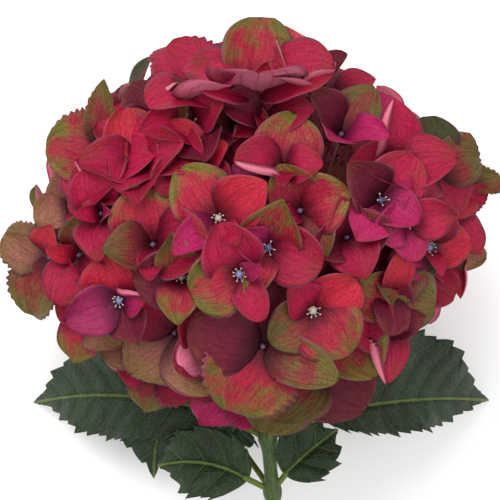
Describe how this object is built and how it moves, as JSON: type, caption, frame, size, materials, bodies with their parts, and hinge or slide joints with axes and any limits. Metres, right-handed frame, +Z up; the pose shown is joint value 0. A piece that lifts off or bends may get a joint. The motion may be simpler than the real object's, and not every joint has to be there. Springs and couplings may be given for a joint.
{
  "type": "cut hydrangea",
  "caption": "Cut mophead hydrangea lying on its side: a round head of four-sepalled crimson and green florets, serrated leaves and a woody stalk.",
  "frame": {"origin": "centre of the underside of the bounding box, on the surface that the flower lies on", "axes": "+Z up, +Y from the cut end of the stalk to the crown of the head, +X to the right"},
  "size_m": [0.198, 0.339, 0.1623],
  "materials": {
    "floret": "satin petal, crimson with green and olive patches",
    "leaf": "dark green blade with paler veins",
    "ray": "smooth pink-brown young wood",
    "stalk": "green bark with fine ridges"
  },
  "bodies": {
    "root": {"cyme_01": "floret", "cyme_02": "floret", "cyme_03": "floret", "cyme_04": "floret", "cyme_05": "floret", "cyme_06": "floret", "cyme_07": "floret", "cyme_08": "floret", "cyme_09": "floret", "cyme_10": "floret", "cyme_11": "floret", "cyme_12": "floret", "cyme_13": "floret", "cyme_14": "floret", "cyme_15": "floret", "cyme_16": "floret", "cyme_17": "floret", "cyme_18": "floret", "cyme_19": "floret", "cyme_20": "floret", "cyme_21": "floret", "cyme_22": "floret", "cyme_23": "floret", "cyme_24": "floret", "cyme_25": "floret", "cyme_26": "floret", "cyme_27": "floret", "cyme_28": "floret", "cyme_29": "floret", "cyme_30": "floret", "leaf_left": "leaf", "leaf_left_curled": "leaf", "leaf_left_lower": "leaf", "leaf_right": "leaf", "leaf_right_lower": "leaf", "leaf_under_head": "leaf", "ray_1": "ray", "ray_2": "ray", "ray_3": "ray", "ray_4": "ray", "ray_5": "ray", "ray_6": "ray", "ray_7": "ray", "stalk": "stalk"}
  },
  "joints": []
}
